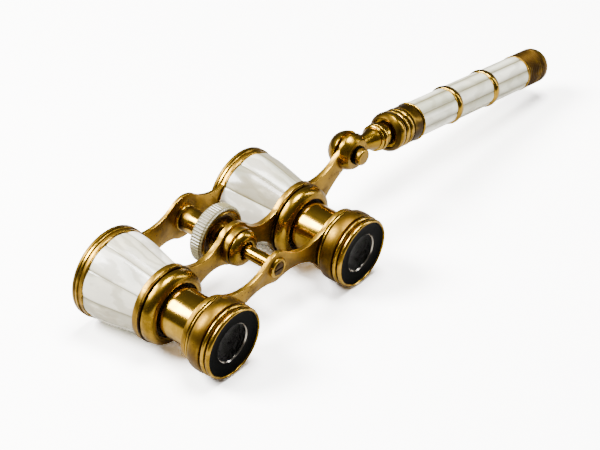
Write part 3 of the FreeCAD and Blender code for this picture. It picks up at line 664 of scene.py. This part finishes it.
def front_post():
    start, end, out = extent("front_post", "centre")
    bore = extent("focus_rod", "centre")[2] + 0.3
    plate = extent("front_bridge", "centre")[0]
    outline = [(bore, start), (out - 0.3, start), (out, start + 0.3), (out, plate - 1.3),
               (out + 0.35, plate - 1.0), (out + 0.35, plate), (out - 1.02, plate),
               (out - 1.02, end), (bore, end)]
    spun("front_post_turning", outline, "centre", "frame", FINISH["polished_brass"], ["front_post"])


def rod_boss():
    start, end, out = extent("rod_boss", "centre")
    bore = extent("focus_rod", "centre")[2]
    outline = [(bore, start + 0.1)] + bow((bore + 0.1, start), (out, end - 0.3), -0.32)
    outline += [(out, end), (bore, end)]
    spun("rod_boss_turning", outline, "centre", "eyepieces", FINISH["gilt_brass"], ["rod_boss"])


# ---- Handle ----
def neck_collar():
    """Stepped double collar."""
    start = extent("neck_collar", "handle")[0]
    tube = extent("inner_tube", "handle")[2]
    outline = [(0.0, start), (4.3, start)] + bow((4.35, start + 0.1), (4.35, start + 1.05), -0.35)
    outline += [(4.1, start + 1.2), (4.1, start + 1.5)]
    outline += bow((4.75, start + 1.7), (4.75, start + 3.1), -0.15)
    outline += [(tube + 0.05, start + 3.3), (tube + 0.05, start + 3.8), (0.0, start + 3.8)]
    spun("neck_collar_turning", outline, "handle", "handle_knuckle", FINISH["polished_brass"],
         ["neck_collar"])


def grip_ferrule():
    """Domed ferrule: a crest, two rounded rings, a broad dark band and a bright lip."""
    start, end, out = extent("grip_ferrule", "handle")
    out = out - 0.2
    mouth = extent("inner_tube", "handle")[2] + 0.95
    core = extent("ferrule_bush", "handle")[2]
    outline = [(core, start + 1.35), (mouth, start + 1.3), (mouth, start + 0.35),
               (mouth + 0.2, start + 0.02)]
    outline += bow((mouth + 0.35, start + 0.1), (out - 0.02, start + 4.2), -0.72, 16)
    outline += [(out - 0.75, start + 4.6), (out - 0.75, start + 5.0)]
    outline += bow((out - 0.2, start + 5.1), (out - 0.2, start + 7.0), -0.26)
    outline += [(out - 0.65, start + 7.15), (out - 0.65, start + 7.5)]
    outline += bow((out - 0.2, start + 7.6), (out - 0.2, start + 9.5), -0.26)
    outline += [(out - 0.65, start + 9.65), (out - 0.65, start + 10.0)]
    outline += bow((out - 0.15, start + 10.1), (out - 0.15, end - 1.35), -0.05)
    outline += [(out - 0.55, end - 1.25), (out - 0.55, end - 1.0)]
    outline += bow((out - 0.05, end - 0.9), (out - 0.05, end), -0.25)
    outline += [(core, end)]
    spun("ferrule_turning", outline, "handle", "handle_grip", FINISH["patinated_brass"],
         ["grip_ferrule"],
         film=[(start + 4.3, start + 5.1, 1.0), (start + 7.1, start + 7.6, 1.0),
               (start + 9.6, end - 1.3, 0.92), (start, start + 1.4, 0.9)])


def grip_ring(index):
    node = "grip_ring_%d" % index
    start, end, out = extent(node, "handle")
    outline = [(out - 2.0, start), (out - 0.5, start), (out - 0.45, start + 0.45)]
    outline += bow((out - 0.3, start + 0.55), (out - 0.3, end - 0.55), -0.3)
    outline += [(out - 0.45, end - 0.45), (out - 0.5, end), (out - 2.0, end)]
    spun("grip_band_%d" % index, outline, "handle", "handle_grip", FINISH["polished_brass"], [node])


def end_cap():
    """Ridged cap: eight fine rounded ridges, then a plain shoulder and a low dome."""
    start, end, out = extent("end_cap", "handle")
    core = extent("grip_core_tube", "handle")[2]
    outline = [(core, start)] + bow((out - 0.12, start), (out - 0.12, start + 0.85), -0.12)
    outline += [(out - 0.45, start + 0.95)]
    ridge = (end - start - 7.0) / 8
    for i in range(8):
        y = start + 1.1 + ridge * i
        outline += bow((out - 0.42, y), (out - 0.42, y + ridge), -0.34, 5)
    top = start + 1.1 + ridge * 8
    outline += [(out - 0.1, top + 0.2)]
    dome = end - top - 1.6
    outline += [((out - 0.1) * math.cos(a) ** 0.75, top + 1.6 + dome * math.sin(a))
                for a in np.linspace(0, 1, 22)[1:] * math.pi / 2]
    outline += [(0.0, start + 4.0), (core, start + 4.0)]
    spun("end_cap_turning", outline, "handle", "handle_grip", CAP, ["end_cap"], edge=0.06,
         film=[(start + 0.9, top + 0.4, 0.95), (top + 0.4, end, 0.55)])


for seed, side in enumerate(SIDES):
    eyecup_shell(side)
    eyecup_face(side)
    draw_tube(side)
    collar(side)
    bead_ring(side)
    objective_bezel(side)
    barrel_slips(side, 11 + seed)
wheel_tread()
wheel_dish("wheel_rear_dish", -1)
wheel_dish("wheel_front_dish", 1)
centre_bush()
front_post()
rod_boss()
neck_collar()
grip_ferrule()
for index in (1, 2, 3):
    grip_slips(index, 20 + index)
for index in (1, 2):
    grip_ring(index)
end_cap()
for node in ("rear_bridge", "mid_bridge", "front_bridge"):
    softened(node, PLATE, PLATE_EDGE)
softened("knuckle_ball", FINISH["gilt_brass"], PLATE_EDGE, 0.12)
softened("hinge_pin", PIN, PLATE_EDGE, 0.12)
for node in ("rod_end_screw", "front_post_screw"):
    softened(node, FINISH["dark_steel"], SCREW_EDGE, 0.08)

own_finish = {"pin_washer": FINISH["black_lacquer"], "left_barrel_tube": FINISH["black_lacquer"],
              "right_barrel_tube": FINISH["black_lacquer"]}
for node, thing in frame["nodes"].items():
    thing.data.materials.clear()
    thing.data.materials.append(own_finish.get(node, FINISH[slots[node]]))


# ---- Floor, light and camera ----
def floor():
    """Pale table that shows near white but is darker, and darker far off, where the metal mirrors it."""
    mesh = bpy.data.meshes.new("table")
    reach = 3.0
    mesh.from_pydata([(-reach, -reach, 0), (reach, -reach, 0), (reach, reach, 0), (-reach, reach, 0)],
                     [], [(0, 1, 2, 3)])
    thing = bpy.data.objects.new("table", mesh)
    bpy.context.collection.objects.link(thing)
    material, tree, shader = new_material("pale table")
    path = add(tree, "ShaderNodeLightPath")
    where = add(tree, "ShaderNodeTexCoord").outputs["Object"]
    apart = add(tree, "ShaderNodeVectorMath", {0: where}, operation="LENGTH").outputs["Value"]
    mirrored = blend_colour(tree, stepped(tree, apart, 0.10, 0.45), (0.36, 0.35, 0.33, 1),
                            (0.05, 0.045, 0.04, 1))
    seen = blend_colour(tree, path.outputs["Is Camera Ray"], (0.90, 0.89, 0.88, 1), (2.2, 2.17, 2.13, 1))
    colour = blend_colour(tree, path.outputs["Is Glossy Ray"], seen, mirrored)
    tree.links.new(colour, shader.inputs["Base Color"])
    shader.inputs["Roughness"].default_value = 0.75
    shader.inputs["Specular IOR Level"].default_value = 0.2
    mesh.materials.append(material)


def softbox(name, place, aim, size, power, colour=(1, 1, 1)):
    light = bpy.data.lights.new(name, "AREA")
    light.shape = "RECTANGLE"
    light.size, light.size_y = size
    light.energy = power
    light.color = colour
    lamp = bpy.data.objects.new(name, light)
    bpy.context.collection.objects.link(lamp)
    lamp.location = place
    lamp.rotation_euler = (Vector(aim) - Vector(place)).to_track_quat("-Z", "Y").to_euler()


CAMERA_AZIMUTH, CAMERA_ELEVATION = -50.40, 33.06
CAMERA_DISTANCE = 0.4818
CAMERA_LENS = 97.4
# Point the camera looks at, in the frame of the glasses: across and above the plane of the barrels.
AIM_ACROSS, AIM_ABOVE = -3.11, 29.12


def camera():
    data = bpy.data.cameras.new("camera")
    data.sensor_width = 36.0
    data.lens = CAMERA_LENS
    data.clip_start, data.clip_end = 0.01, 20.0
    thing = bpy.data.objects.new("camera", data)
    bpy.context.collection.objects.link(thing)
    azimuth, elevation = math.radians(CAMERA_AZIMUTH), math.radians(CAMERA_ELEVATION)
    back = Vector((math.sin(azimuth) * math.cos(elevation), -math.cos(azimuth) * math.cos(elevation),
                   math.sin(elevation)))
    middle = (AXES["left"].translation + AXES["right"].translation) / 2
    aim = middle + (LEVEL.to_3x3() @ Vector((AIM_ACROSS, 0, AIM_ABOVE)))
    thing.location = aim + back * CAMERA_DISTANCE
    thing.rotation_euler = (-back).to_track_quat("-Z", "Y").to_euler()
    bpy.context.scene.camera = thing


floor()
softbox("window", (-0.50, 0.55, 0.75), (0, 0, 0), (0.45, 0.45), 38.0)
softbox("overhead", (0.10, -0.05, 0.95), (0, 0, 0), (0.42, 0.42), 26.0)
softbox("strip", (0.75, -0.55, 0.45), (0, 0, 0.02), (0.12, 0.8), 4.0)
world = bpy.data.worlds.new("room")
bpy.context.scene.world = world
world.use_nodes = True
world.node_tree.nodes["Background"].inputs["Color"].default_value = (1.0, 0.97, 0.93, 1)
world.node_tree.nodes["Background"].inputs["Strength"].default_value = 0.10
camera()
